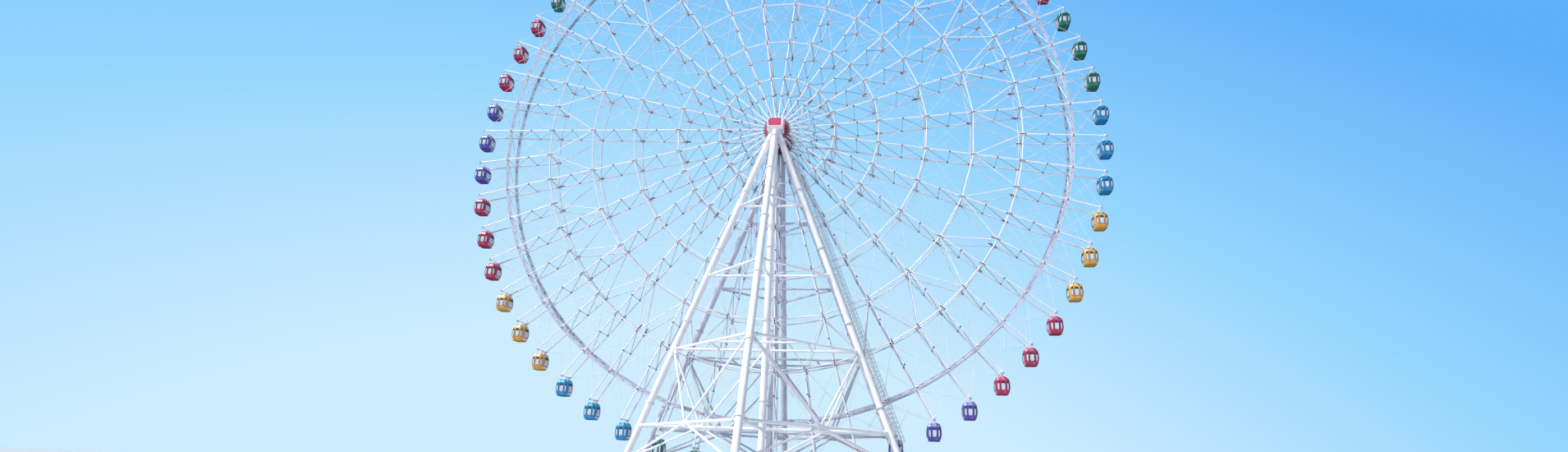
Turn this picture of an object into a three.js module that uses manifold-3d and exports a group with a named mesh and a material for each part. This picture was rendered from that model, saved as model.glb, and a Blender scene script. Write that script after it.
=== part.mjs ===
// Ferris wheel with 54 cabins that stay level, as a 1:10 scale model.
// Millimetres, +Z up, ground at z = 0, origin under the hub.
// The wheel turns about the Y axis, and -Y is the side that the photograph shows.
import * as THREE from "three";
import { mergeVertices } from "three/addons/utils/BufferGeometryUtils.js";
import Module from "manifold-3d";

const wasm = await Module();
wasm.setup();

// Driving dimensions: 100 mm here is 1 m of the real wheel.
const GAP = 0.3; // between pieces that touch
const [FRONT, REAR] = [-1, 1]; // sides of the wheel, along Y
const HUB_HEIGHT = 4550;
const MAIN_SPOKES = 27;
const CABINS = 2 * MAIN_SPOKES;
const PHASE = THREE.MathUtils.degToRad(4.93); // turn of the first main spoke above +X
const STEP = (2 * Math.PI) / CABINS;

// Wheel sides: the radius of each ring, and how far each side stands from the middle plane.
const RING_RADII = [774, 1354, 1972, 2573];
const OUTER_RING_RADIUS = 3180;
const RIM_RADIUS = 3800;
const PIVOT_RADIUS = 4207;
const ARM_END_RADIUS = 4225;
const RIM_HALF_WIDTH = 132;
const HUB_HALF_WIDTH = 222;
const BAR_DEPTH = 20;
const SPOKE_WIDTH = 22;
const RING_WIDTH = 16;
const RIM_WIDTH = 24;
const DIAGONAL_WIDTH = 12;
const STRUT_WIDTH = 14;
const LACING_RADIUS = 8;

// Hub and its shaft, which turns in the tower heads.
const DRUM_RADIUS = 150;
const DRUM_HALF_LENGTH = 233;
const FLANGE_RADIUS = 176;
const FLANGE_THICKNESS = 10;
const HUB_RING_RADIUS = 192;
const SHAFT_RADIUS = 45;
const SHAFT_HALF_LENGTH = 400;
const SHAFT_SIDES = 36;

// Towers: four legs each, braced at four levels below the hub.
const TOWER_OFFSET = 330; // from the middle plane to the upright legs
const LEVELS = [1125, 2042, 2969, 3890];
const SPREAD_AT_LOWEST_LEVEL = 1473;
const OUTWARD_AT_LOWEST_LEVEL = 1480;
const LEG_RADIUS = 42;
const LEG_SIDES = 10;
const HEAD_SIZE = new THREE.Vector3(210, 150, 170);
const HEAD_LIFT = 5;
const PEDESTAL_HEIGHT = 250;
const PEDESTAL_TOP_RADIUS = 78;
const PEDESTAL_BASE_RADIUS = 114;
const PEDESTAL_SIDES = 10;
const BEAM_RADII = [13, 14, 15, 18];
const BRACE_RADIUS = 13;
const BEAM_SIDES = 4;

// Cabin: heights are measured down from its pivot. Each level is a rectangle with its corners cut.
const CABIN_LEVELS = [
  { z: -238, halfWidth: 66, halfDepth: 80, corner: 24 },
  { z: -175, halfWidth: 86, halfDepth: 98, corner: 27 },
  { z: -85, halfWidth: 81, halfDepth: 93, corner: 28 },
  { z: -48, halfWidth: 66, halfDepth: 76, corner: 28 },
  { z: -34, halfWidth: 44, halfDepth: 52, corner: 24 },
];
const AXLE_RADIUS = 7;
const HANGER_HALF_WIDTH = 34;
const HANGER_HALF_DEPTH = 12;

const painted = (color, roughness = 0.45) =>
  new THREE.MeshStandardMaterial({ color, roughness, metalness: 0.1 });
const WHITE_PAINT = painted(0xe9ecf0);
const HUB_RED = painted(0xb3222b);
// Three cabins of each colour in turn, three times round the wheel.
const CABIN_PAINTS = [
  painted(0x14735a, 0.3),
  painted(0xb9213a, 0.3),
  painted(0x2b3fa3, 0.3),
  painted(0xb9213a, 0.3),
  painted(0xe8a53c, 0.3),
  painted(0x1d86bd, 0.3),
];

// A geometry as a solid that can be added to others.
function solid(geometry) {
  const bare = geometry.index ? geometry.clone() : mergeVertices(geometry.clone());
  bare.deleteAttribute("normal");
  bare.deleteAttribute("uv");
  const merged = mergeVertices(bare, 1e-4);
  return new wasm.Manifold(
    new wasm.Mesh({
      numProp: 3,
      vertProperties: merged.attributes.position.array,
      triVerts: new Uint32Array(merged.index.array),
    }),
  );
}

// A solid back as a three.js geometry.
function geometryOf(body) {
  const mesh = body.getMesh();
  const positions = new Float32Array(mesh.numVert * 3);
  for (let i = 0; i < mesh.numVert; i++) {
    const start = i * mesh.numProp;
    positions.set(mesh.vertProperties.subarray(start, start + 3), i * 3);
  }
  const geometry = new THREE.BufferGeometry();
  geometry.setAttribute("position", new THREE.BufferAttribute(positions, 3));
  geometry.setIndex(new THREE.BufferAttribute(mesh.triVerts, 1));
  return geometry;
}

// Solids fused to one, with the flat faces that they share made one face too.
const joined = (bodies) => wasm.Manifold.union(bodies).asOriginal().simplify();

// A straight rod of few sides from one point to another, run on past both by extra.
function rod(from, to, radius, sides = BEAM_SIDES, extra = 0) {
  const along = new THREE.Vector3().subVectors(to, from);
  const geometry = new THREE.CylinderGeometry(radius, radius, along.length() + 2 * extra, sides);
  geometry.rotateY(Math.PI / sides);
  const up = new THREE.Vector3(0, 1, 0);
  geometry.applyQuaternion(new THREE.Quaternion().setFromUnitVectors(up, along.normalize()));
  const middle = new THREE.Vector3().addVectors(from, to).multiplyScalar(0.5);
  geometry.translate(middle.x, middle.y, middle.z);
  return solid(geometry);
}

// A point on the wheel, from its radius and its number of cabin steps round.
function onWheel(radius, step) {
  const angle = PHASE + step * STEP;
  return new THREE.Vector3(radius * Math.cos(angle), 0, radius * Math.sin(angle));
}

// A flat bar in the plane of the wheel.
function flatBar(from, to, width) {
  const along = new THREE.Vector3().subVectors(to, from);
  const geometry = new THREE.BoxGeometry(along.length(), BAR_DEPTH, width);
  geometry.rotateY(-Math.atan2(along.z, along.x));
  geometry.translate((from.x + to.x) / 2, 0, (from.z + to.z) / 2);
  return solid(geometry);
}

// A closed ring of straight bars with its corners on every nth cabin step.
function ringBars(radius, stride, width) {
  const bars = [];
  for (let step = 0; step < CABINS; step += stride) {
    bars.push(flatBar(onWheel(radius, step), onWheel(radius, step + stride), width));
  }
  return bars;
}

// The ring of plate that the spokes start from, round the drum.
function hubRing() {
  const half = BAR_DEPTH / 2;
  const inner = DRUM_RADIUS + GAP;
  const profile = [
    new THREE.Vector2(inner, -half),
    new THREE.Vector2(HUB_RING_RADIUS, -half),
    new THREE.Vector2(HUB_RING_RADIUS, half),
    new THREE.Vector2(inner, half),
    new THREE.Vector2(inner, -half),
  ];
  return solid(new THREE.LatheGeometry(profile, MAIN_SPOKES));
}

// How far a wheel side stands from the middle plane at a radius: each side is a flat cone.
function sideOffset(radius) {
  const share = (radius - DRUM_RADIUS) / (RIM_RADIUS - DRUM_RADIUS);
  return THREE.MathUtils.lerp(HUB_HALF_WIDTH, RIM_HALF_WIDTH, share);
}

// One flat side of the wheel: spokes, rings, diagonals, rim and arms, all fused.
function wheelSide(side) {
  const bars = [hubRing()];
  for (let step = 0; step < CABINS; step += 2) {
    bars.push(flatBar(onWheel(HUB_RING_RADIUS - 15, step), onWheel(ARM_END_RADIUS, step), SPOKE_WIDTH));
    bars.push(flatBar(onWheel(OUTER_RING_RADIUS, step + 1), onWheel(ARM_END_RADIUS, step + 1), SPOKE_WIDTH));
    for (const turn of [-1, 1]) {
      const inner = onWheel(RING_RADII.at(-1), step);
      bars.push(flatBar(inner, onWheel(OUTER_RING_RADIUS, step + turn), DIAGONAL_WIDTH));
    }
  }
  for (const radius of RING_RADII) bars.push(...ringBars(radius, 2, RING_WIDTH));
  bars.push(...ringBars(OUTER_RING_RADIUS, 1, RING_WIDTH));
  bars.push(...ringBars(RIM_RADIUS, 1, RIM_WIDTH));
  const geometry = geometryOf(joined(bars));
  const position = geometry.attributes.position;
  for (let i = 0; i < position.count; i++) {
    const radius = Math.hypot(position.getX(i), position.getZ(i));
    position.setY(i, position.getY(i) + side * sideOffset(radius));
  }
  return geometry;
}

// The lacing that holds the two rims apart: a strut at each arm and a diagonal to the next one.
function rimLacing() {
  const reach = sideOffset(RIM_RADIUS + STRUT_WIDTH / 2) - BAR_DEPTH / 2 - GAP;
  const corner = reach - STRUT_WIDTH / 2;
  const bars = [];
  for (let step = 0; step < CABINS; step++) {
    const strut = new THREE.BoxGeometry(STRUT_WIDTH, 2 * reach, STRUT_WIDTH);
    strut.rotateY(-(PHASE + step * STEP));
    const from = onWheel(RIM_RADIUS, step);
    strut.translate(from.x, 0, from.z);
    const to = onWheel(RIM_RADIUS, step + 1);
    bars.push(solid(strut), rod(from.setY(-corner), to.setY(corner), LACING_RADIUS));
  }
  return joined(bars);
}

function wheelHub() {
  const end = DRUM_HALF_LENGTH + FLANGE_THICKNESS;
  const outline = [
    [DRUM_RADIUS, -DRUM_HALF_LENGTH],
    [DRUM_RADIUS, DRUM_HALF_LENGTH],
    [FLANGE_RADIUS, DRUM_HALF_LENGTH],
    [FLANGE_RADIUS, end],
    [0, end],
    [0, -end],
    [FLANGE_RADIUS, -end],
    [FLANGE_RADIUS, -DRUM_HALF_LENGTH],
    [DRUM_RADIUS, -DRUM_HALF_LENGTH],
  ];
  const turned = new THREE.LatheGeometry(
    outline.map(([r, y]) => new THREE.Vector2(r, y)),
    MAIN_SPOKES,
  );
  return geometryOf(joined([solid(turned), shaft(SHAFT_RADIUS, SHAFT_HALF_LENGTH)]));
}

// A cylinder along the wheel's axis: the shaft, or the bore for it.
function shaft(radius, halfLength) {
  const geometry = new THREE.CylinderGeometry(radius, radius, 2 * halfLength, SHAFT_SIDES);
  return solid(geometry);
}

// Where each leg of a tower is at a depth below the hub.
function legPoint(leg, depth, side) {
  const share = depth / LEVELS.at(-1);
  const x = { left: -SPREAD_AT_LOWEST_LEVEL, right: SPREAD_AT_LOWEST_LEVEL }[leg] ?? 0;
  const outward = leg === "outer" ? OUTWARD_AT_LOWEST_LEVEL : 0;
  return new THREE.Vector3(x * share, side * (TOWER_OFFSET + outward * share), HUB_HEIGHT - depth);
}

const halfway = (a, b) => new THREE.Vector3().addVectors(a, b).multiplyScalar(0.5);

// A leg and the round pedestal that it stands on.
function towerLeg(leg, side) {
  const top = legPoint(leg, 0, side);
  const foot = legPoint(leg, HUB_HEIGHT - PEDESTAL_HEIGHT / 2, side);
  const ground = legPoint(leg, HUB_HEIGHT, side);
  const pedestal = new THREE.CylinderGeometry(
    PEDESTAL_TOP_RADIUS,
    PEDESTAL_BASE_RADIUS,
    PEDESTAL_HEIGHT,
    PEDESTAL_SIDES,
  );
  pedestal.rotateX(Math.PI / 2);
  pedestal.translate(ground.x, ground.y, PEDESTAL_HEIGHT / 2);
  return [rod(top, foot, LEG_RADIUS, LEG_SIDES), solid(pedestal)];
}

// The beams that tie the four legs together at one level.
function levelBeams(index, side) {
  const at = (leg) => legPoint(leg, LEVELS[index], side);
  const radius = BEAM_RADII[index];
  const beams = [
    rod(at("left"), at("outer"), radius),
    rod(at("outer"), at("right"), radius),
    rod(at("left"), at("right"), radius),
    rod(at("outer"), at("column"), radius),
  ];
  if (index === 2) {
    const outerLeft = halfway(at("left"), at("outer"));
    const outerRight = halfway(at("right"), at("outer"));
    beams.push(rod(outerLeft, outerRight, BRACE_RADIUS));
    beams.push(rod(outerLeft, halfway(at("left"), at("column")), BRACE_RADIUS));
    beams.push(rod(outerRight, halfway(at("right"), at("column")), BRACE_RADIUS));
  }
  return beams;
}

// Braces of one face between two legs: up from the middle of the lowest beam, and down to both feet.
function faceBraces(legA, legB, side) {
  const middle = halfway(legPoint(legA, LEVELS[3], side), legPoint(legB, LEVELS[3], side));
  const feet = HUB_HEIGHT - PEDESTAL_HEIGHT;
  return [legA, legB].flatMap((leg) => [
    rod(middle, legPoint(leg, LEVELS[2], side), BRACE_RADIUS),
    rod(middle, legPoint(leg, feet, side), BRACE_RADIUS),
  ]);
}

// The block at the top of a tower that holds the shaft.
function towerHead(side) {
  const block = new THREE.BoxGeometry(HEAD_SIZE.x, HEAD_SIZE.y, HEAD_SIZE.z);
  block.translate(0, side * TOWER_OFFSET, HUB_HEIGHT + HEAD_LIFT);
  return solid(block);
}

// A tower of four legs, with the bore through its head that the shaft turns in.
function tower(side) {
  const bore = (SHAFT_RADIUS + GAP) / Math.cos(Math.PI / SHAFT_SIDES); // clear of the shaft's corners as it turns
  const parts = [
    towerHead(side),
    ...towerLeg("left", side),
    ...towerLeg("right", side),
    ...towerLeg("outer", side),
    ...towerLeg("column", side),
    ...LEVELS.flatMap((_, index) => levelBeams(index, side)),
    ...faceBraces("left", "outer", side),
    ...faceBraces("outer", "right", side),
    ...faceBraces("left", "column", side),
    ...faceBraces("column", "right", side),
  ];
  const hole = shaft(bore, SHAFT_HALF_LENGTH + 6).translate(0, 0, HUB_HEIGHT);
  return geometryOf(joined(parts).subtract(hole));
}

// The cabin's closed shell: a ring of eight points at each level, joined up and closed at both ends.
function cabinShell() {
  const rings = CABIN_LEVELS.map(({ z, halfWidth, halfDepth, corner }) => {
    const near = halfDepth - corner;
    const side = halfWidth - corner;
    const ring = [];
    for (const [sx, sy] of [[1, 1], [-1, 1], [-1, -1], [1, -1]]) {
      const pair = [[sx * halfWidth, sy * near, z], [sx * side, sy * halfDepth, z]];
      ring.push(...(sx * sy > 0 ? pair : pair.reverse()));
    }
    return ring;
  });
  const sides = rings[0].length;
  const faces = [];
  for (let level = 0; level + 1 < rings.length; level++) {
    for (let i = 0; i < sides; i++) {
      const a = level * sides + i;
      const b = level * sides + ((i + 1) % sides);
      faces.push(a, b, b + sides, a, b + sides, a + sides);
    }
  }
  const top = (rings.length - 1) * sides;
  for (let i = 1; i + 1 < sides; i++) faces.push(0, i + 1, i, top, top + i, top + i + 1);
  const geometry = new THREE.BufferGeometry();
  geometry.setAttribute("position", new THREE.Float32BufferAttribute(rings.flat(2), 3));
  geometry.setIndex(faces);
  return solid(geometry);
}

// A closed cabin body with its hanger and axle, about its own pivot.
function cabin() {
  const hanger = new THREE.Shape();
  hanger.moveTo(-HANGER_HALF_WIDTH, -40);
  hanger.lineTo(HANGER_HALF_WIDTH, -40);
  hanger.lineTo(AXLE_RADIUS + 4, 8);
  hanger.lineTo(-AXLE_RADIUS - 4, 8);
  const plate = new THREE.ExtrudeGeometry(hanger, {
    depth: 2 * HANGER_HALF_DEPTH,
    bevelEnabled: false,
  });
  plate.rotateX(Math.PI / 2);
  plate.translate(0, HANGER_HALF_DEPTH, 0);
  const reach = sideOffset(ARM_END_RADIUS) - BAR_DEPTH / 2 - GAP;
  const axle = rod(new THREE.Vector3(0, -reach, 0), new THREE.Vector3(0, reach, 0), AXLE_RADIUS, 6);
  return geometryOf(joined([cabinShell(), solid(plate), axle]));
}

const ferrisWheel = new THREE.Group();
const turning = new THREE.Group();
turning.position.z = HUB_HEIGHT;
ferrisWheel.add(turning);

function place(name, geometry, material, parent) {
  const mesh = new THREE.Mesh(geometry, material);
  mesh.name = name;
  parent.add(mesh);
  return mesh;
}

place("front_tower", tower(FRONT), WHITE_PAINT, ferrisWheel);
place("rear_tower", tower(REAR), WHITE_PAINT, ferrisWheel);
place("wheel_hub", wheelHub(), HUB_RED, turning);
place("wheel_front_frame", wheelSide(FRONT), WHITE_PAINT, turning);
place("wheel_rear_frame", wheelSide(REAR), WHITE_PAINT, turning);
place("rim_lacing", geometryOf(rimLacing()), WHITE_PAINT, turning);

const cabinGeometry = cabin();
for (let number = 1; number <= CABINS; number++) {
  const paint = CABIN_PAINTS[Math.floor((number - 1) / 3) % CABIN_PAINTS.length];
  const name = "cabin_" + String(number).padStart(2, "0");
  place(name, cabinGeometry, paint, turning).position.copy(onWheel(PIVOT_RADIUS, number));
}

export default ferrisWheel;
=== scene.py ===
"""Looks of the 1:10 ferris wheel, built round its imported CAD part.

Metres, +Z up. The wheel turns about Y, and -Y is its front. 0.1 m here is 1 m of the real wheel.
"""

import math
from itertools import product

import bpy
import numpy as np
from mathutils import Matrix, Vector


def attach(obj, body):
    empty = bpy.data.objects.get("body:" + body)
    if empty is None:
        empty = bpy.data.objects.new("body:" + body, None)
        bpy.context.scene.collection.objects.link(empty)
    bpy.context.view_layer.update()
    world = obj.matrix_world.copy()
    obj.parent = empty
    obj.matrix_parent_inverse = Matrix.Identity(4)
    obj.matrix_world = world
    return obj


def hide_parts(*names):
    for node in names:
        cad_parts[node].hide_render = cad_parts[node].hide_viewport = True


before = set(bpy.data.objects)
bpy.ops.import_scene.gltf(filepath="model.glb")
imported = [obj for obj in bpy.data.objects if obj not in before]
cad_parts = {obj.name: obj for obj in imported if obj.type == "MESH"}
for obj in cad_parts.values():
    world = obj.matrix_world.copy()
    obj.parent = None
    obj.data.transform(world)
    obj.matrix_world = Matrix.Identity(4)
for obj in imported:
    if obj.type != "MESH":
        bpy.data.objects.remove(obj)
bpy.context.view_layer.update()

# Driving dimensions of the wheel, the same as in the CAD part.
FRONT, REAR = -1, 1
HUB_HEIGHT = 4.55
STEPS = 54
STEP = 2 * math.pi / STEPS
PHASE = math.radians(4.93)
SPOKE_START = 0.150
HUB_RING = 0.192
RINGS = (0.774, 1.354, 1.972, 2.573)
OUTER_RING = 3.18
RIM = 3.8
PIVOT = 4.207
ARM_END = 4.2245  # half a millimetre short of the CAD part's, so that the round tips stay inside its box
HUB_HALF_WIDTH, RIM_HALF_WIDTH = 0.222, 0.132
SHAFT = 0.045

# Driving dimensions of the towers, the same as in the CAD part.
LEVELS = (1.125, 2.042, 2.969, 3.890)
SPREAD, OUTWARD, TOWER_OFFSET = 1.473, 1.480, 0.330
LEG = 0.042
BEAM_RADII = (0.013, 0.014, 0.015, 0.018)
BRACE = 0.013
PEDESTAL, PEDESTAL_TOP, PEDESTAL_BASE = 0.25, 0.078, 0.114
HEAD, HEAD_LIFT = (0.105, 0.075, 0.085), 0.005

X, ACROSS, UP = Vector((1, 0, 0)), Vector((0, 1, 0)), Vector((0, 0, 1))
HUB = UP * HUB_HEIGHT


def lerp(a, b, t):
    return a + (b - a) * t


def table_row(rows, z):
    """The values at z from a table whose rows start with their z, on a straight line between rows."""
    for low, high in zip(rows, rows[1:]):
        if z <= high[0]:
            share = (z - low[0]) / (high[0] - low[0])
            return [lerp(a, b, share) for a, b in zip(low[1:], high[1:])]
    return list(rows[-1][1:])


# Mesh building

FLAT = 1e-6  # steps along an axis that are smaller than this make a flat face
BOLT_TAPER = 0.92


class Shape:
    """Points and faces of one piece, with a material number and a smooth flag for each face."""

    def __init__(self):
        self.points, self.faces, self.paints, self.smooth = [], [], [], []

    def add(self, points, faces, paint=0, smooth=True):
        """Adds faces of numbered points. Points that no face uses are left out."""
        used = sorted({i for face in faces for i in face})
        number = {old: len(self.points) + new for new, old in enumerate(used)}
        self.points.extend(points[i] for i in used)
        self.faces.extend([number[i] for i in face] for face in faces)
        self.paints.extend([paint] * len(faces))
        self.smooth.extend([smooth] * len(faces))

    def made(self, name, materials):
        mesh = bpy.data.meshes.new(name)
        mesh.from_pydata([tuple(p) for p in self.points], [], self.faces)
        for material in materials:
            mesh.materials.append(material)
        mesh.polygons.foreach_set("material_index", self.paints)
        mesh.polygons.foreach_set("use_smooth", self.smooth)
        mesh.update()
        return mesh


def in_scene(name, data):
    """A new object of the scene."""
    made = bpy.data.objects.new(name, data)
    bpy.context.scene.collection.objects.link(made)
    return made


def place(name, mesh, body, replaced, slot, at=(0, 0, 0)):
    """Puts a mesh on a body, where it stands for CAD nodes. The slot is not used."""
    piece = in_scene(name, mesh)
    piece.location = at
    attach(piece, body)
    if replaced:
        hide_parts(*replaced)


def axes_of(direction, hint=None):
    """Two unit vectors across a direction. The first is the hint, less its part along the direction."""
    direction = Vector(direction).normalized()
    if hint is None:
        hint = ACROSS if abs(direction.y) < 0.9 else UP
    first = (hint - direction * direction.dot(hint)).normalized()
    return first, direction.cross(first).normalized()


def circle(centre, u, v, radius, sides):
    angles = (2 * math.pi * i / sides for i in range(sides))
    return [centre + u * (radius * math.cos(a)) + v * (radius * math.sin(a)) for a in angles]


def cell(row, column, wide):
    """The quad of a grid of points that has this many points in a row."""
    first = row * wide + column
    return (first, first + 1, first + wide + 1, first + wide)


def bridge(sides, rings):
    """Quads between closed rings of points that follow one another."""
    return [
        (r * sides + i, r * sides + (i + 1) % sides, (r + 1) * sides + (i + 1) % sides, (r + 1) * sides + i)
        for r in range(rings - 1)
        for i in range(sides)
    ]


def end_caps(sides, rings):
    """The faces that close the first and the last ring."""
    last = (rings - 1) * sides
    return [tuple(range(sides))[::-1], tuple(range(last, last + sides))]


def tube(shape, a, b, radius, sides=8, paint=0, caps=True):
    """A straight round tube from a to b."""
    a, b = Vector(a), Vector(b)
    u, v = axes_of(b - a)
    points = circle(a, u, v, radius, sides) + circle(b, u, v, radius, sides)
    shape.add(points, bridge(sides, 2), paint)
    if caps:
        shape.add(points, end_caps(sides, 2), paint, False)


def bent_tube(shape, path, radius, sides, paint, hint):
    """A round tube along a path of points, mitred at its bends."""
    points = []
    for before, here, after in zip([path[0], *path], path, [*path[1:], path[-1]]):
        hint, v = axes_of((after - before).normalized(), hint)
        points += circle(here, hint, v, radius, sides)
    shape.add(points, bridge(sides, len(path)), paint)
    shape.add(points, end_caps(sides, len(path)), paint, False)


def turned(shape, profile, centre, axis, sides=24, paint=0):
    """A profile of (radius, distance along the axis) turned about an axis. Radius 0 closes it."""
    centre, axis = Vector(centre), Vector(axis).normalized()
    u, v = axes_of(axis)
    for (r0, d0), (r1, d1) in zip(profile, profile[1:]):
        ring0 = circle(centre + axis * d0, u, v, r0, sides)
        ring1 = circle(centre + axis * d1, u, v, r1, sides)
        if r0 and r1:
            shape.add(ring0 + ring1, bridge(sides, 2), paint, abs(d1 - d0) >= FLAT)
        elif r1:
            shape.add(ring1, [tuple(range(sides))[::-1]], paint, False)
        elif r0:
            shape.add(ring0, [tuple(range(sides))], paint, False)


def block(shape, centre, u, v, w, half, paint=0, cut=0.0):
    """A box with half sizes along three unit vectors, its edges cut off by a chamfer."""
    signs = (-1, 1)

    def corner(a, b, c, inset=(0, 0, 0)):
        hu, hv, hw = (size - back for size, back in zip(half, inset))
        return Vector(centre) + u * (a * hu) + v * (b * hv) + w * (c * hw)

    if not cut:
        corners = [corner(*place) for place in product(signs, repeat=3)]
        faces = [(0, 1, 3, 2), (4, 6, 7, 5), (0, 4, 5, 1), (2, 3, 7, 6), (0, 2, 6, 4), (1, 5, 7, 3)]
        shape.add(corners, faces, paint, False)
        return

    # Each corner has three points, each on the box's face across axis k.
    places = [(*place, k) for place in product(signs, repeat=3) for k in range(3)]
    index = {place: i for i, place in enumerate(places)}
    points = [corner(a, b, c, [0 if axis == k else cut for axis in range(3)]) for a, b, c, k in places]

    def face(order, *places):
        return [index[place] for place in places][::order]

    faces = []
    for s in signs:
        faces.append(face(s, *((s, b, c, 0) for b, c in ((-1, -1), (1, -1), (1, 1), (-1, 1)))))
        faces.append(face(s, *((a, s, c, 1) for a, c in ((-1, -1), (-1, 1), (1, 1), (1, -1)))))
        faces.append(face(s, *((a, b, s, 2) for a, b in ((-1, -1), (1, -1), (1, 1), (-1, 1)))))
        for t in signs:
            faces.append(face(-s * t, (s, t, -1, 0), (s, t, 1, 0), (s, t, 1, 1), (s, t, -1, 1)))
            faces.append(face(s * t, (s, -1, t, 0), (s, 1, t, 0), (s, 1, t, 2), (s, -1, t, 2)))
            faces.append(face(-s * t, (-1, s, t, 1), (1, s, t, 1), (1, s, t, 2), (-1, s, t, 2)))
            for r in signs:
                faces.append(face(s * t * r, (s, t, r, 0), (s, t, r, 1), (s, t, r, 2)))
    shape.add(points, faces, paint, False)


def bolt_circle(shape, centre, axis, radius, count, size, height, paint=1):
    """Hexagon bolt heads on a circle round an axis."""
    centre, axis = Vector(centre), Vector(axis).normalized()
    u, v = axes_of(axis)
    for spot in circle(centre, u, v, radius, count):
        points = circle(spot, u, v, size, 6) + circle(spot + axis * height, u, v, size * BOLT_TAPER, 6)
        shape.add(points, bridge(6, 2) + [tuple(range(6, 12))], paint, False)


# Materials

# The colour sockets of a Mix node, which share their names with its number sockets.
MIX_A, MIX_B, MIX_RESULT = 6, 7, 2


class Material:
    """A new material and the nodes that make its look, all placed by the object's own coordinates."""

    def __init__(self, name):
        self.made = bpy.data.materials.new(name)
        self.made.use_nodes = True
        self.nodes, self.links = self.made.node_tree.nodes, self.made.node_tree.links
        self.shader = self.nodes["Principled BSDF"]
        self.place = self.node("TexCoord").outputs["Object"]

    def join(self, value, socket):
        """Links a socket to an output, or sets it to a value."""
        if isinstance(value, bpy.types.NodeSocket):
            self.links.new(value, socket)
        else:
            socket.default_value = value

    def node(self, kind, *inputs, **values):
        """A new node. Its inputs are outputs of other nodes or values, in order or by name."""
        made = self.nodes.new("ShaderNode" + kind)
        for key, value in values.items():
            if hasattr(made, key):
                setattr(made, key, value)
            else:
                self.join(value, made.inputs[key.replace("_", " ")])
        for value, socket in zip(inputs, made.inputs):
            self.join(value, socket)
        return made

    def noise(self, place, **values):
        return self.node("TexNoise", Vector=place, **values).outputs["Fac"]

    def ramp(self, source, stops):
        """A colour or a grey for each value of a source."""
        made = self.node("ValToRGB", source)
        elements = made.color_ramp.elements
        while len(elements) < len(stops):
            elements.new(0.5)
        for element, (position, value) in zip(elements, stops):
            element.position = position
            element.color = (*value, 1.0) if isinstance(value, tuple) else (value, value, value, 1.0)
        return made.outputs["Color"]

    def mix(self, share, source, colour):
        """A source's colour, turned into a fixed one by a share."""
        made = self.node("Mix", data_type="RGBA", Factor=share)
        self.join(source, made.inputs[MIX_A])
        self.join((*colour, 1.0), made.inputs[MIX_B])
        return made.outputs[MIX_RESULT]

    def finish(self, **values):
        """Sets or links the inputs of the shader."""
        for key, value in values.items():
            self.join(value, self.shader.inputs[key.replace("_", " ")])

    def show(self, output):
        self.links.new(output, self.nodes["Material Output"].inputs["Surface"])


def painted(name, colour, dirt, roughness=0.4, coat=0.0, streaks=0.35, grain=120.0, metallic=0.0, shine=0.5):
    """Paint on steel: cloudy colour, rain streaks that run down, patchy gloss and a fine orange-peel bump."""
    paint = Material(name)
    clouds = paint.noise(paint.place, Scale=3.0, Detail=6.0, Roughness=0.62)
    cloudy = paint.ramp(clouds, [(0.35, tuple(c * 0.93 for c in colour)), (0.7, colour)])
    stretched = paint.node("Mapping", Vector=paint.place, Scale=(26.0, 26.0, 1.6)).outputs["Vector"]
    runs = paint.noise(stretched, Scale=1.0, Detail=4.0, Roughness=0.55)
    streaked = paint.mix(paint.ramp(runs, [(0.48, 0.0), (0.74, streaks)]), cloudy, dirt)
    gloss = paint.ramp(clouds, [(0.3, roughness * 0.8), (0.75, min(1.0, roughness * 1.35))])
    peel = paint.noise(paint.place, Scale=grain, Detail=2.0)
    bump = paint.node("Bump", Height=peel, Strength=0.12, Distance=0.001).outputs["Normal"]
    paint.finish(Base_Color=streaked, Roughness=gloss, Normal=bump)
    paint.finish(Metallic=metallic, Specular_IOR_Level=shine)
    if coat:
        paint.finish(Coat_Weight=coat, Coat_Roughness=0.08)
    return paint.made


def glazing():
    """Tinted acrylic, a little smeared, with a dark sun band along the top of each window. The glass is pale
    blue-white, which is painted reflection of the sky.
    """
    glass = Material("cabin_glass")
    smear = glass.noise(glass.place, Scale=22.0, Detail=3.0)
    sky_reflection_tint = glass.ramp(smear, [(0.3, (0.66, 0.77, 0.92)), (0.75, (0.88, 0.92, 0.98))])
    height = glass.node("SeparateXYZ", glass.place).outputs["Z"]
    band = glass.node("MapRange", Value=height, From_Min=-0.126, From_Max=-0.114).outputs["Result"]
    gloss = glass.ramp(smear, [(0.3, 0.04), (0.8, 0.12)])
    glass.finish(Base_Color=glass.mix(band, sky_reflection_tint, (0.07, 0.075, 0.14)), Roughness=gloss, Alpha=0.78)
    return glass.made


WHITE = painted("white_steel_paint", (0.90, 0.90, 0.93), (0.60, 0.58, 0.60), 0.42)
# A lighter copy of the white steel paint, for the front tower: painted light.
LIT_TOWER_WHITE = painted("front_tower_painted_light", (0.95, 0.95, 0.96), (0.68, 0.67, 0.70), 0.45, streaks=0.25)
# A darker, bluer copy of the white steel paint, for the rear tower: painted shade.
SHADED_WHITE = painted("rear_tower_painted_shade", (0.66, 0.70, 0.80), (0.38, 0.39, 0.46), 0.5, streaks=0.55)
GREY = painted("grey_fitting_paint", (0.095, 0.085, 0.12), (0.05, 0.045, 0.06), 0.55, grain=260.0)
CLAMP = painted("clamp_paint", (0.18, 0.15, 0.19), (0.10, 0.08, 0.10), 0.55, grain=260.0)
# Lavender-grey for the front rim's rails, lacing and tray: painted shade on the white steel.
SHADED_FRONT_RAIL = painted("front_rail_painted_shade", (0.60, 0.62, 0.76), (0.32, 0.32, 0.42), 0.5, streaks=0.5)
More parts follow.
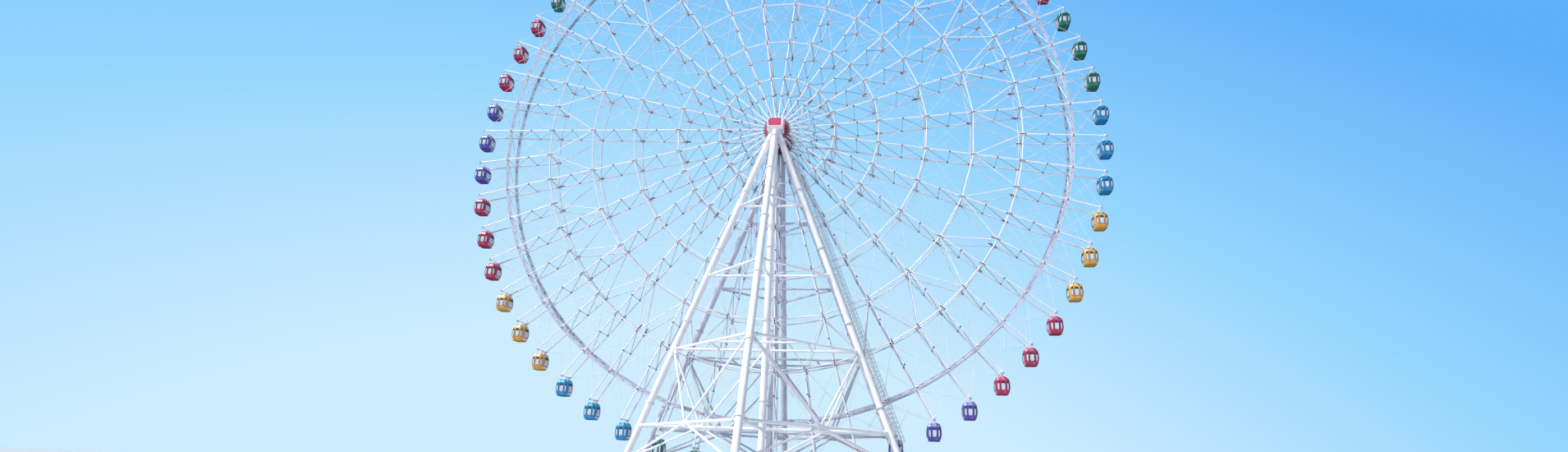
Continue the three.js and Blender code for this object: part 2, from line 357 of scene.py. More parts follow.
# A darker, bluer copy of the white steel paint, for the rear side of the wheel: painted shade.
SHADED_REAR_WHITE = painted("rear_lattice_painted_shade", (0.72, 0.74, 0.84), (0.44, 0.44, 0.50), 0.46)
# A darker lavender-grey for the rear rim and the front rim lamps: painted shade.
SHADED_RAIL = painted("rim_rail_painted_shade", (0.40, 0.44, 0.57), (0.20, 0.20, 0.28), 0.5, streaks=0.5)
# Grey-blue paint of the lacing, the arm bearings and the ladder's cage, darker and bluer in part as painted
# shade.
LACING_GREY_AND_SHADE = painted("lacing_grey_and_painted_shade", (0.38, 0.42, 0.53), (0.20, 0.21, 0.28), 0.5, grain=260.0)
ZINC = painted("galvanised_steel", (0.60, 0.62, 0.65), (0.38, 0.37, 0.37), 0.45, grain=320.0, metallic=0.75)
# The hub's red, darkened in part as painted shade.
HUB_RED_AND_SHADE = painted("hub_red_and_painted_shade", (0.45, 0.026, 0.075), (0.20, 0.018, 0.04), 0.38, coat=0.3, streaks=0.3)
DRUM_RED = painted("drum_shadow_red", (0.20, 0.022, 0.045), (0.09, 0.015, 0.02), 0.5, streaks=0.5)
PANEL = painted("head_panel_paint", (0.74, 0.075, 0.185), (0.38, 0.04, 0.11), 0.4, coat=0.3, streaks=0.3)
CREAM = painted("head_band_paint", (0.70, 0.64, 0.60), (0.45, 0.40, 0.37), 0.45)
BLACK = painted("black_rubber", (0.022, 0.024, 0.045), (0.06, 0.055, 0.06), 0.6, grain=500.0)
SEAT = painted("cabin_lining", (0.62, 0.64, 0.66), (0.42, 0.42, 0.42), 0.6, grain=500.0)
GLASS = glazing()

# Body, dirt and roof colour of each kind of cabin. The roof colour is a paler copy of the body's: painted
# highlight.
CABIN_COLOURS = {
    "green": ((0.008, 0.185, 0.135), (0.02, 0.09, 0.07), (0.06, 0.31, 0.21)),
    "red": ((0.50, 0.014, 0.085), (0.22, 0.01, 0.05), (0.68, 0.14, 0.25)),
    "blue": ((0.080, 0.066, 0.41), (0.05, 0.04, 0.19), (0.36, 0.34, 0.70)),
    "yellow": ((0.78, 0.39, 0.050), (0.45, 0.22, 0.05), (0.90, 0.66, 0.32)),
    "light_blue": ((0.003, 0.265, 0.60), (0.01, 0.13, 0.31), (0.04, 0.44, 0.72)),
}
# Three cabins of each colour in turn.
COLOUR_ORDER = ("green", "red", "blue", "red", "yellow", "light_blue")
CABINS_PER_COLOUR = 3


# A darker copy of a colour, for the cabins' undersides: painted shade.
def shaded(colour):
    return tuple(0.62 * channel + 0.018 for channel in colour)


# Body, roof and underside paint of each kind of cabin. The roof's is a painted highlight and the underside's
# painted shade.
CABIN_PAINT = {
    name: (
        painted("cabin_paint_" + name, body, dirt, 0.26, coat=0.5, streaks=0.16, grain=420.0),
        painted("cabin_roof_painted_light_" + name, roof, body, 0.30, coat=0.6, streaks=0.25, grain=420.0),
        painted("cabin_underside_painted_shade_" + name, shaded(body), dirt, 0.9, grain=420.0, shine=0.05),
    )
    for name, (body, dirt, roof) in CABIN_COLOURS.items()
}


# Wheel

# Radii of the tubes and rods.
SPOKE, RING, DIAGONAL = 0.0095, 0.0080, 0.0068
CHORD, CHORD_LACING = 0.0052, 0.0024
RIM_STRUT, RIM_DIAGONAL = 0.0075, 0.0058
SPOKE_LACING, RING_STRUT, TIE_ROD = 0.0038, 0.0055, 0.0019
# The rim is a pair of chords with a lamp tray between them, laced six times from one step to the next.
RIM_CHORDS = (RIM - 0.020, RIM + 0.014)
RIM_BAYS = 6
TRAY = RIM - 0.003
# The rim's rails, lacing and tray take the side's second paint, a lavender-grey that is painted shade.
RIM_SHADE_PAINT = 1
MAIN_STOPS = (HUB_RING + 0.03, *RINGS, OUTER_RING, RIM)


def side_y(side, radius):
    """How far a side of the wheel stands from its middle plane."""
    return side * lerp(HUB_HALF_WIDTH, RIM_HALF_WIDTH, (radius - SPOKE_START) / (RIM - SPOKE_START))


def on_wheel(radius, step, side=0):
    """A place on one side of the wheel at rest, or on its middle plane. Main spokes are at the even steps."""
    angle = PHASE + step * STEP
    return Vector((radius * math.cos(angle), side_y(side, radius), HUB_HEIGHT + radius * math.sin(angle)))


def between(radius, step, side, share):
    """A place on the straight line from a step to the next one."""
    return on_wheel(radius, step, side).lerp(on_wheel(radius, step + 1, side), share)


def wheel_axes(step):
    """Unit vectors outwards, across and round the wheel."""
    angle = PHASE + step * STEP
    along = Vector((math.cos(angle), 0, math.sin(angle)))
    return along, ACROSS, ACROSS.cross(along)


def bar(shape, start, end, radius, sides=8, paint=0, caps=True):
    """A tube between two places of the wheel, each given as a radius, a step and a side."""
    tube(shape, on_wheel(*start), on_wheel(*end), radius, sides, paint, caps)


def rod(shape, start, end):
    bar(shape, start, end, TIE_ROD, 5, caps=False)


def wheel_side(side):
    """One side of the wheel in round tube: spokes, rings, diagonals and the laced rim with its lamp tray."""
    shape = Shape()
    for step in range(0, STEPS, 2):
        bar(shape, (SPOKE_START, step, side), (ARM_END, step, side), SPOKE, 10)
        bar(shape, (OUTER_RING, step + 1, side), (ARM_END, step + 1, side), SPOKE, 10)
        for radius in RINGS:
            bar(shape, (radius, step, side), (radius, step + 2, side), RING)
        for turn in (-1, 1):
            bar(shape, (RINGS[-1], step, side), (OUTER_RING, step + turn, side), DIAGONAL)
    for step in range(STEPS):
        bar(shape, (OUTER_RING, step, side), (OUTER_RING, step + 1, side), RING)
        for radius in RIM_CHORDS:
            bar(shape, (radius, step, side), (radius, step + 1, side), CHORD, paint=RIM_SHADE_PAINT)
        for bay in range(RIM_BAYS):
            inner, outer = RIM_CHORDS if bay % 2 else RIM_CHORDS[::-1]
            a = between(inner, step, side, bay / RIM_BAYS)
            b = between(outer, step, side, (bay + 1) / RIM_BAYS)
            tube(shape, a, b, CHORD_LACING, 5, RIM_SHADE_PAINT, caps=False)
        half = (on_wheel(RIM, step + 1, side) - on_wheel(RIM, step, side)).length / 2 - 0.022
        tray = between(TRAY, step, side, 0.5)
        block(shape, tray, *wheel_axes(step + 0.5), (0.0085, 0.0016, half), RIM_SHADE_PAINT, 0.0008)
    return shape


def rim_ties():
    """Struts and diagonals between the two rims."""
    shape = Shape()
    for step in range(STEPS):
        bar(shape, (RIM, step, FRONT), (RIM, step, REAR), RIM_STRUT)
        bar(shape, (RIM, step, FRONT), (RIM, step + 1, REAR), RIM_DIAGONAL, 6)
    return shape


def spoke_lacing():
    """The struts and diagonals between the front and the rear tube of each spoke."""
    shape = Shape()
    for step in range(STEPS):
        main = step % 2 == 0
        for low, high in zip(MAIN_STOPS, MAIN_STOPS[1:]):
            if not main and high != RIM:
                continue
            radii = (low, (low + high) / 2, high)
            front, rear = ([(radius, step, side) for radius in radii] for side in (FRONT, REAR))
            for a, b in ((rear[2], front[1]), (front[1], rear[1]), (rear[1], front[0])):
                bar(shape, a, b, SPOKE_LACING, 6, caps=False)
        for radius in (*RINGS, OUTER_RING) if main else (OUTER_RING,):
            bar(shape, (radius, step, FRONT), (radius, step, REAR), RING_STRUT, 6, caps=False)
    return shape


def tie_rods():
    """Thin rods: crosses in the cells of each side, crosses between the sides, and the stays of the arms."""
    shape = Shape()
    for step in range(0, STEPS, 2):
        crossing = ((step, step + 2), (step + 2, step))
        for low, high in zip(RINGS[1:], RINGS[2:]):
            for side, (a, b) in product((FRONT, REAR), crossing):
                rod(shape, (low, a, side), (high, b, side))
        for radius, (a, b) in product(RINGS, crossing):
            rod(shape, (radius, a, FRONT), (radius, b, REAR))
    for step in range(STEPS):
        for side, turn in product((FRONT, REAR), (-1, 1)):
            rod(shape, (ARM_END - 0.02, step, side), (RIM, step + turn, side))
            rod(shape, (OUTER_RING, step, side), (RIM, step + turn, side))
        rod(shape, (OUTER_RING, step, FRONT), (OUTER_RING, step + 1, REAR))
    return shape


# Half lengths of the node plates, and their distance from the middle of the spoke.
RING_PLATE, OUTER_PLATE, RIM_PLATE = 0.026, 0.024, 0.020
PLATE_OUT = 0.0105
# Half sizes of clamps and lamps, outwards, across and round the wheel.
JOINT_CLAMP, RIM_CLAMP = (0.010, 0.0128, 0.0128), (0.0125, 0.0125, 0.0115)
MIDDLE_CLAMP, ARM_CLAMP = (0.0095, 0.011, 0.011), (0.012, 0.0095, 0.012)
RIM_LAMP = (0.006, 0.0042, 0.016)
CLAMP_BEVEL = 0.003
# Material numbers of the joint fittings.
PLATES, SLEEVES, CAPS, CLAMPS, FRONT_LAMPS = range(5)


def spoke_joint(shape, centre, axes, out, turn):
    """Dark sleeves and a clamp at a crossing. Three crossings of seven also have a lamp, long or short."""
    along = axes[0]
    sleeve = [(SPOKE, 0.008), (0.0135, 0.009), (0.0135, 0.030), (0.0120, 0.034), (SPOKE, 0.034)]
    for way in (-1, 1):
        turned(shape, sleeve, centre, along * way, 10, SLEEVES)
    block(shape, centre, *axes, JOINT_CLAMP, SLEEVES, CLAMP_BEVEL)
    if turn % 7 < 3:
        end = 0.040 if turn % 7 else 0.070
        lamp = [(0, 0), (0.0065, 0.0), (0.0080, 0.003), (0.0080, end - 0.004), (0.0065, end), (0, end)]
        turned(shape, lamp, centre - along * 0.012 - out * 0.017, -along, 8, SLEEVES)


def arm_fittings(shape, step, side):
    """The bearing of a cabin's axle at the tip of its arm, and a clamp under it."""
    axes = wheel_axes(step)
    bearing = [(0, -0.011), (0.012, -0.011), (0.0145, -0.008), (0.0145, 0.008), (0.012, 0.011), (0, 0.011)]
    tip = on_wheel(PIVOT, step, side)
    turned(shape, bearing, tip, ACROSS, 14, CAPS)
    block(shape, tip - axes[0] * 0.022, *axes, ARM_CLAMP, PLATES, CLAMP_BEVEL)


def joint_fittings():
    """Node plates, sleeves and clamps on the spokes, lamps on the rim, and the fittings of the arms."""
    shape = Shape()
    for side, step in product((FRONT, REAR), range(STEPS)):
        main = step % 2 == 0
        out, axes = ACROSS * side, wheel_axes(step)
        crossings = [(OUTER_RING, OUTER_PLATE), (RIM, RIM_PLATE)]
        if main:
            crossings += [(radius, RING_PLATE) for radius in RINGS]
        for index, (radius, size) in enumerate(crossings):
            centre = on_wheel(radius, step, side)
            for flip in (-1, 1):
                block(shape, centre + out * PLATE_OUT * flip, *axes, (size, 0.0014, size * 0.62), PLATES)
            if radius == RIM:
                block(shape, centre, *axes, RIM_CLAMP, SLEEVES, CLAMP_BEVEL)
            else:
                spoke_joint(shape, centre, axes, out, step + 3 * index)
        stops = MAIN_STOPS if main else (OUTER_RING, RIM)
        for low, high in zip(stops, stops[1:]):
            middle = on_wheel((low + high) / 2, step, side)
            block(shape, middle, *axes, MIDDLE_CLAMP, CLAMPS, CLAMP_BEVEL)
        for bay in (1, 3, 5):
            lamp = between(TRAY, step, side, bay / RIM_BAYS)
            # Front lamps take the darker rim rail paint and rear lamps the dark grey of the sleeves: both
            # painted shade.
            block(shape, lamp, *axes, RIM_LAMP, FRONT_LAMPS if side == FRONT else SLEEVES, 0.001)
        arm_fittings(shape, step, side)
    return shape


# The hub's drum and flanges.
DRUM, FLANGE = 0.128, 0.156
DRUM_HALF_LENGTH, SHAFT_HALF_LENGTH = 0.233, 0.300
SPOKES = STEPS // 2
# Material numbers of the hub.
PAINTED, BOLTS, LUGS_AND_SHADE, SHADOWED = range(4)


def hub_flange(shape, side):
    """The bolted flange at one end of the drum, and its two inner rings between which the spokes are held."""
    outward = ACROSS * side
    face = [
        (SHAFT, 0.2425), (0.060, 0.2425), (0.064, 0.238), (0.108, 0.235), (0.130, 0.235), (0.134, 0.2425),
        (0.152, 0.2425), (FLANGE, 0.239), (FLANGE, 0.2345),
    ]
    turned(shape, face, HUB, outward, STEPS)
    # The flange's inner face is dark grey: painted shade.
    turned(shape, [(FLANGE, 0.2345), (DRUM, 0.2345)], HUB, outward, STEPS, LUGS_AND_SHADE)
    bolt_circle(shape, HUB + outward * 0.2415, outward, 0.143, 2 * SPOKES, 0.0036, 0.0014)
    bolt_circle(shape, HUB + outward * 0.235, outward, 0.120, SPOKES, 0.0042, 0.003)
    near, far = (0.004, 0.0) if side == REAR else (0.0, 0.004)
    for offset in (-0.0095, 0.0055):
        spot = HUB + ACROSS * (side_y(side, HUB_RING) + offset)
        turned(shape, [(DRUM, near), (0.164, near), (0.164, far)], spot, ACROSS, STEPS)
        # The inner face of each ring is dark grey: painted shade.
        turned(shape, [(0.164, far), (DRUM, far)], spot, ACROSS, STEPS, LUGS_AND_SHADE)


def hub_piece():
    """The drum with its flanges, ribs, dark spoke lugs and bolts. The drum and its ribs are dark red, and the
    faces that look inward are dark grey: both painted shade.
    """
    shape = Shape()
    turned(shape, [(DRUM, -DRUM_HALF_LENGTH), (DRUM, DRUM_HALF_LENGTH)], HUB, ACROSS, STEPS, SHADOWED)
    for spoke in range(SPOKES):
        axes = wheel_axes(2 * spoke + 1)
        block(shape, HUB + axes[0] * (DRUM + 0.0035), *axes, (0.0055, 0.205, 0.0025), SHADOWED)
    for side in (FRONT, REAR):
        hub_flange(shape, side)
        for step in range(0, STEPS, 2):
            along, _, round_ = axes = wheel_axes(step)
            for offset in (-0.0115, 0.0115):
                spot = on_wheel(0.162, step, side) + round_ * offset
                block(shape, spot, *axes, (0.020, 0.0105, 0.0018), LUGS_AND_SHADE)
            a, b = (on_wheel(0.166, step, side) + round_ * 0.0145 * way for way in (-1, 1))
            tube(shape, a, b, 0.0040, 8, BOLTS)
    return shape


def shaft_piece():
    shape = Shape()
    tube(shape, HUB - ACROSS * SHAFT_HALF_LENGTH, HUB + ACROSS * SHAFT_HALF_LENGTH, SHAFT, 48)
    return shape


# Towers

# Depths below the hub of the bolted flanges on each leg.
LEG_FLANGES = {
    "left": (0.235, 0.92, 1.70, 2.62, 3.62),
    "right": (0.225, 0.90, 1.68, 2.62, 3.60),
    "outer": (0.185, 0.72, 1.45, 2.22, 3.04, 3.86),
    "column": (0.30, 0.86, 1.66, 2.60, 3.56),
}
LEG_TOP = 0.074
# Pairs of legs with beams and braces between them, and the pair that has beams alone.
BRACED_FACES = (("left", "outer"), ("outer", "right"), ("left", "column"), ("column", "right"))
MIDDLE_PAIR = ("outer", "column")
FIRST_WELD, WELD_PITCH = 0.5, 0.42


def leg_point(leg, depth, side):
    """A place on the axis of a leg, at a depth below the hub."""
    share = depth / LEVELS[-1]
    x = {"left": -SPREAD, "right": SPREAD}.get(leg, 0.0)
    outward = OUTWARD if leg == "outer" else 0.0
    return Vector((x * share, side * (TOWER_OFFSET + outward * share), HUB_HEIGHT - depth))


def leg_flange(shape, spot, along):
    """Two bolted flanges on a leg."""
    wide = LEG + 0.013
    profile = [(LEG, 0.0145), (LEG + 0.003, 0.0095), (wide, 0.0085), (wide, 0.0008), (LEG, 0.0008)]
    for axis in (-along, along):
        turned(shape, profile, spot, axis, 32)
        bolt_circle(shape, spot + axis * 0.0085, axis, LEG + 0.0075, 20, 0.0028, 0.0028)


def weld(shape, spot, along):
    bead = LEG + 0.0011
    turned(shape, [(LEG, -0.004), (bead, -0.0015), (bead, 0.0015), (LEG, 0.004)], spot, along, 32)


def pedestal(shape, leg, side):
    """The steel cone under a leg, on its bolted and ribbed base plate."""
    ground = leg_point(leg, HUB_HEIGHT, side)
    bottom, top = PEDESTAL_BASE, PEDESTAL_TOP
    profile = [
        (0, 0.0), (bottom, 0.0), (bottom, 0.012), (bottom - 0.012, 0.014), (top, PEDESTAL - 0.014),
        (top, PEDESTAL), (LEG + 0.004, PEDESTAL), (0, PEDESTAL),
    ]
    turned(shape, profile, ground, UP, 36)
    bolt_circle(shape, ground + UP * 0.0125, UP, bottom - 0.0056, 20, 0.0035, 0.007)
    bolt_circle(shape, ground + UP * PEDESTAL, UP, top - 0.012, 16, 0.0035, 0.006)
    ribs = 12
    for index in range(ribs):
        angle = 2 * math.pi * (index + 0.5) / ribs
        out = Vector((math.cos(angle), math.sin(angle), 0))
        spot = ground + out * (bottom - 0.020) + UP * 0.035
        block(shape, spot, out, UP, out.cross(UP), (0.0095, 0.022, 0.0018))


def tower_leg(shape, leg, side):
    """A leg with its weld beads and flanges, which ends inside its pedestal."""
    top, foot = (leg_point(leg, depth, side) for depth in (LEG_TOP, HUB_HEIGHT - PEDESTAL / 2))
    along = (foot - top).normalized()
    tube(shape, top, foot, LEG, 32)
    for distance in np.arange(FIRST_WELD, (foot - top).length - 0.2, WELD_PITCH):
        weld(shape, top + along * float(distance), along)
    for depth in LEG_FLANGES[leg]:
        leg_flange(shape, leg_point(leg, depth, side), along)
    pedestal(shape, leg, side)


def beam(shape, a, b, radius, ends=(0.0, 0.0)):
    """A beam between two legs. Each end that has a reach gets a bolted flange beyond it."""
    tube(shape, a, b, radius, 14, caps=False)
    along = (b - a).normalized()
    rim = radius + 0.009
    profile = [(radius, 0.0055), (rim, 0.005), (rim, 0.0004), (radius, 0.0004)]
    for end, reach, way in ((a, ends[0], along), (b, ends[1], -along)):
        if reach:
            spot = end + way * (reach + 0.045)
            for axis in (-along, along):
                turned(shape, profile, spot, axis, 16)
                bolt_circle(shape, spot + axis * 0.005, axis, radius + 0.0048, 8, 0.0022, 0.002)


def node_plate(shape, spot, u, w, size):
    block(shape, spot, u, w, u.cross(w), (size, 0.003, size * 0.8), 0, 0.0015)


def tower_piece(side):
    """A tower: four legs, beams at four levels, and braces in the faces below the third level."""
    shape = Shape()
    for leg in LEG_FLANGES:
        tower_leg(shape, leg, side)

    def at(leg, level):
        return leg_point(leg, LEVELS[level], side)

    for level, radius in enumerate(BEAM_RADII):
        for a, b in (*BRACED_FACES, MIDDLE_PAIR):
            beam(shape, at(a, level), at(b, level), radius, (LEG, LEG))
    outer_middles = [(at(leg, 2) + at("outer", 2)) / 2 for leg in ("left", "right")]
    for leg, outer_middle in zip(("left", "right"), outer_middles):
        beam(shape, outer_middle, (at(leg, 2) + at("column", 2)) / 2, BRACE)
    beam(shape, *outer_middles, BRACE)
    for a, b in BRACED_FACES:
        middle = (at(a, 3) + at(b, 3)) / 2
        across = (at(b, 3) - at(a, 3)).normalized()
        face = across.cross((at(a, 2) - at(a, 3)).normalized()).normalized()
        node_plate(shape, middle, across, face, 0.050)
        for leg in (a, b):
            for end in (at(leg, 2), leg_point(leg, HUB_HEIGHT - PEDESTAL, side)):
                beam(shape, middle, end, BRACE, (0.02, LEG + 0.02))
            along = (middle - at(leg, 2)).normalized()
            node_plate(shape, at(leg, 2) + along * 0.075, along, face, 0.034)
    return shape


# Material numbers of the bearing box.
SHELL, RED_PANEL, HEAD_BOLTS, BAND = range(4)
CUT_CORNER = 0.036
BORE, HOLE = 0.0466, 0.062


def rectangle(left, right, low, high):
    return [(left, low), (right, low), (right, high), (left, high)]


def head_piece(side):
    """The bearing box on top of a tower: pale shell with a cut corner, red panels, a collar for the shaft."""
    shape = Shape()
    hx, hy, hz = HEAD
    bevel, sunk = 0.0025, 0.004
    outline = [(-hx, -hz), (hx, -hz), (hx, hz), (CUT_CORNER - hx, hz), (-hx, hz - CUT_CORNER)]
    small = [(a * (1 - bevel / hx), b * (1 - bevel / hz)) for a, b in outline]
    panel_right, panel_low, panel_high = hx - 0.024, 0.052 - hz, hz - 0.009
    panel = [
        (0.022 - hx, panel_low), (panel_right, panel_low), (panel_right, panel_high),
        (CUT_CORNER + 0.004 - hx, panel_high), (0.014 - hx, hz - CUT_CORNER - 0.002),
    ]

    def loop(ring, out, lift=HEAD_LIFT):
        y = side * (TOWER_OFFSET + out)
        return [Vector((a, y, HUB_HEIGHT + lift + b)) for a, b in ring]

    rings = [(small, -hy), (outline, bevel - hy), (outline, hy - bevel), (small, hy), (panel, hy)]
    rings.append((panel, hy - sunk))
    points = [p for ring, out in rings for p in loop(ring, out)]
    shape.add(points, bridge(5, 6), SHELL, False)
    shape.add(loop(panel, hy - sunk), [(0, 1, 2, 3, 4)], RED_PANEL, False)
    band = rectangle(0.004 - hx, hx - 0.004, 0.004 - hz, 0.046 - hz)
    shape.add(loop(band, hy + 0.0003) + loop(band, hy - 0.002), bridge(4, 2) + [(0, 1, 2, 3)], BAND, False)
    bolts = rectangle(0.026 - hx, hx - 0.030, 0.060 - hz, hz - 0.016)
    bolts[3] = (CUT_CORNER + 0.010 - hx, hz - 0.016)
    for spot in loop(bolts, hy - sunk):
        bolt_circle(shape, spot, ACROSS * side, 0.0001, 1, 0.0030, 0.0020, HEAD_BOLTS)

    # The side towards the wheel: a red plate with a round hole, and the collar of the shaft.
    sides, inner, outer = 40, [], []
    for a in np.arange(sides) * 2 * math.pi / sides:
        c, s = math.cos(a), math.sin(a)
        reach = min(distances_to_edges(small, c, s))
        inner.append((HOLE * c, HOLE * s))
        outer.append((reach * c, reach * s))
    shape.add(loop(inner, -hy, 0) + loop(outer, -hy, 0), bridge(sides, 2), RED_PANEL, False)
    outward = ACROSS * side
    level = HUB + outward * TOWER_OFFSET
    collar = [
        (BORE, 0.010), (BORE, -0.004), (0.049, -0.006), (0.056, -0.006), (0.060, -0.003), (0.074, -0.002),
        (0.074, 0.004), (BORE, 0.010),
    ]
    turned(shape, collar, level - outward * hy, outward, 36)
    bolt_circle(shape, level - outward * (hy + 0.002), -outward, 0.066, 16, 0.0035, 0.0025, HEAD_BOLTS)
    return shape


def distances_to_edges(outline, c, s):
    """How far the edges of the box's outline are from the shaft's axis, in the direction (c, s)."""
    for (x0, z0), (x1, z1) in zip(outline, outline[1:] + outline[:1]):
        normal = (z1 - z0, x0 - x1)
        facing = normal[0] * c + normal[1] * s
        if facing > 1e-9:
            yield (normal[0] * x0 + normal[1] * (z0 + HEAD_LIFT)) / facing


# The ladder's distance from the leg's axis, and that of each rail from the ladder's middle.
LADDER_OUT, RAIL_HALF_GAP = 0.074, 0.024
LADDER_TOP = 0.22
# The cage takes the lacing's grey-blue, which is in part painted shade.
CAGE = 1
RUNG_PITCH, BRACKET_PITCH = 0.030, 0.27
HOOP_PITCH, HOOP_RADIUS, HOOP_OUT = 0.056, 0.040, 0.020


def ladder_piece(side):
    """The caged ladder beside the right leg, from the hub down to the pedestal."""
    shape = Shape()
    top, bottom = leg_point("right", LADDER_TOP, side), leg_point("right", HUB_HEIGHT - 0.02, side)
    along = (bottom - top).normalized()
    out = (X - along * along.x).normalized()
    start, end = top + out * LADDER_OUT, bottom + out * LADDER_OUT
    end += along * ((PEDESTAL + 0.0012 - end.z) / along.z)
    length = (end - start).length
    gap = ACROSS * RAIL_HALF_GAP

    def on_hoop(degrees):
        a = math.radians(degrees)
        return ACROSS * (HOOP_RADIUS * math.cos(a)) + out * (HOOP_OUT + HOOP_RADIUS * math.sin(a))

    for way in (-1, 1):
        tube(shape, start + gap * way, end + gap * way, 0.0028, 6)
    for index in range(int(length / RUNG_PITCH)):
        spot = start + along * (0.02 + index * RUNG_PITCH)
        tube(shape, spot - gap, spot + gap, 0.0015, 5, caps=False)
    hoops = int((length - 0.26) / HOOP_PITCH)
    first_hoop = start + along * 0.03
    for index in range(hoops):
        spot = first_hoop + along * (index * HOOP_PITCH)
        path = [spot + on_hoop(degrees) for degrees in range(-20, 201, 22)]
        bent_tube(shape, [spot + gap, *path, spot - gap], 0.0017, 4, CAGE, along)
    for degrees in (10, 50, 90, 130, 170):
        strap = first_hoop + on_hoop(degrees)
        tube(shape, strap, strap + along * (hoops - 1) * HOOP_PITCH, 0.0013, 4)
    for index in range(int(length / BRACKET_PITCH)):
        spot = start + along * (0.06 + index * BRACKET_PITCH)
        for way in (-1, 1):
            on_leg = spot - out * (LADDER_OUT - 0.036) + ACROSS * way * 0.012
            tube(shape, on_leg, spot + gap * way, 0.0022, 5, caps=False)
    return shape


# Cabins

# Height from the pivot, half width, half depth and corner radius of the skin.
CABIN_LEVELS = (
    (-0.2375, 0.0650, 0.0790, 0.030),
    (-0.2340, 0.0685, 0.0825, 0.032),
    (-0.2150, 0.0750, 0.0885, 0.034),
    (-0.1750, 0.0842, 0.0962, 0.036),
    (-0.1500, 0.0842, 0.0960, 0.037),
    (-0.1200, 0.0832, 0.0948, 0.037),
    (-0.0850, 0.0795, 0.0915, 0.037),
    (-0.0620, 0.0725, 0.0835, 0.036),
    (-0.0480, 0.0650, 0.0750, 0.034),
    (-0.0390, 0.0540, 0.0630, 0.030),
    (-0.0345, 0.0420, 0.0500, 0.026),
)
SILL, LINTEL = -0.200, -0.090
# Above this height the skin takes the paler roof paint, a painted highlight.
ROOF_EDGE = LINTEL + 0.012
FLOOR, AXLE_HALF = -0.229, 0.1113
# Rows of points from the bottom up, and columns across a face, where -1 and 1 are the middles of its corners.
ROWS = (
    -0.2375, -0.234, -0.220, SILL, -0.184, -0.166, -0.148, -0.130, -0.114, -0.101, LINTEL, -0.080, -0.070,
    -0.062, -0.055, -0.048, -0.043, -0.039, -0.0345,
)
HALF_FRONT_COLUMNS = (0.125, 0.25, 0.37, 0.51, 0.60, 0.70, 0.81, 0.91, 0.96, 1)
HALF_SIDE_COLUMNS = (0.165, 0.33, 0.50, 0.70, 0.80, 0.90, 1)
COLUMNS = [(*(-q for q in half[::-1]), 0, *half) for half in (HALF_FRONT_COLUMNS, HALF_SIDE_COLUMNS)] * 2
WINDOWS = [((-0.91, -0.51), (-0.37, 0.37), (0.51, 0.91)), ((-0.70, 0.70),)] * 2
DOOR_SEAM, HANDLE = 0.44, 0.30
FRONTS, SIDES = (0, 2), (1, 3)
# Material numbers of a cabin.
BODY, TRIM, PANE, STEEL, LINING, DARK, LIT_ROOF, SHADED_UNDER = range(8)


def cabin_point(face, q, z, out=0.0):
    """A point of the cabin's skin. Face is 0 front, 1 right, 2 rear or 3 left, and q its column."""
    half_width, half_depth, corner = table_row(CABIN_LEVELS, z)
    wide, deep = (half_width, half_depth) if face in FRONTS else (half_depth, half_width)
    wide, deep, corner = wide + out, deep + out, corner + out
    straight = wide - corner
    reach = abs(q) * (straight + corner * math.pi / 4)
    if reach <= straight:
        x, y = reach, -deep
    else:
        angle = (reach - straight) / corner
        x, y = straight + corner * math.sin(angle), -(deep - corner) - corner * math.cos(angle)
    x = math.copysign(x, q)
    turns = ((x, y), (-y, x), (-x, -y), (y, -x))
    return Vector((*turns[face], z))


def window(shape, face, left, right):
    """A rounded window set in the skin: rubber frame standing proud, glass behind it."""
    qs = [q for q in COLUMNS[face] if left <= q <= right]
    zs = [z for z in ROWS if SILL <= z <= LINTEL]
    middle_q, half_q = (left + right) / 2, (right - left) / 2
    middle_z, half_z = (SILL + LINTEL) / 2, (LINTEL - SILL) / 2
    border = [(q, zs[0]) for q in qs[:-1]] + [(qs[-1], z) for z in zs[:-1]]
    border += [(q, zs[-1]) for q in qs[:0:-1]] + [(qs[0], z) for z in zs[:0:-1]]
    rounded = []
    for q, z in border:
        u, v = (q - middle_q) / half_q, (z - middle_z) / half_z
        power = 3.2 if v > 0 else 7
        scale = (abs(u) ** power + abs(v) ** power) ** (-1 / power)
        rounded.append((u * scale, v * scale))

    def loop(share_q, share_z, out):
        return [
            cabin_point(face, middle_q + half_q * u * share_q, middle_z + half_z * v * share_z, out)
            for u, v in rounded
        ]

    width = half_q * (0.066 if face in FRONTS else 0.080)
    loops = [[cabin_point(face, q, z) for q, z in border]]
    for inset, out in ((0.0006, 0.0), (0.0009, 0.0012), (0.0040, 0.0014), (0.0046, -0.0012)):
        loops.append(loop(1 - inset / width, 1 - inset / half_z, out))
    loops += [loop(share, share, -0.0012) for share in (0.62, 0.28)]
    for ring, next_ring, paint in zip(loops, loops[1:], (BODY, TRIM, TRIM, TRIM, PANE, PANE)):
        shape.add(ring + next_ring, bridge(len(border), 2), paint, paint != TRIM)
    shape.add(loops[-1], [tuple(range(len(border)))], PANE)


def cabin_skin(shape):
    for face in range(4):
        columns, windows = COLUMNS[face], WINDOWS[face]
        wide = len(columns)
        points = [cabin_point(face, q, z) for z in ROWS for q in columns]
        faces = {BODY: [], LIT_ROOF: []}
        for row, column in product(range(len(ROWS) - 1), range(wide - 1)):
            q, z = (columns[column] + columns[column + 1]) / 2, (ROWS[row] + ROWS[row + 1]) / 2
            if SILL < z < LINTEL and any(left < q < right for left, right in windows):
                continue
            faces[LIT_ROOF if z > ROOF_EDGE else BODY].append(cell(row, column, wide))
        for paint, found in faces.items():
            shape.add(points, found, paint)
        for left, right in windows:
            window(shape, face, left, right)


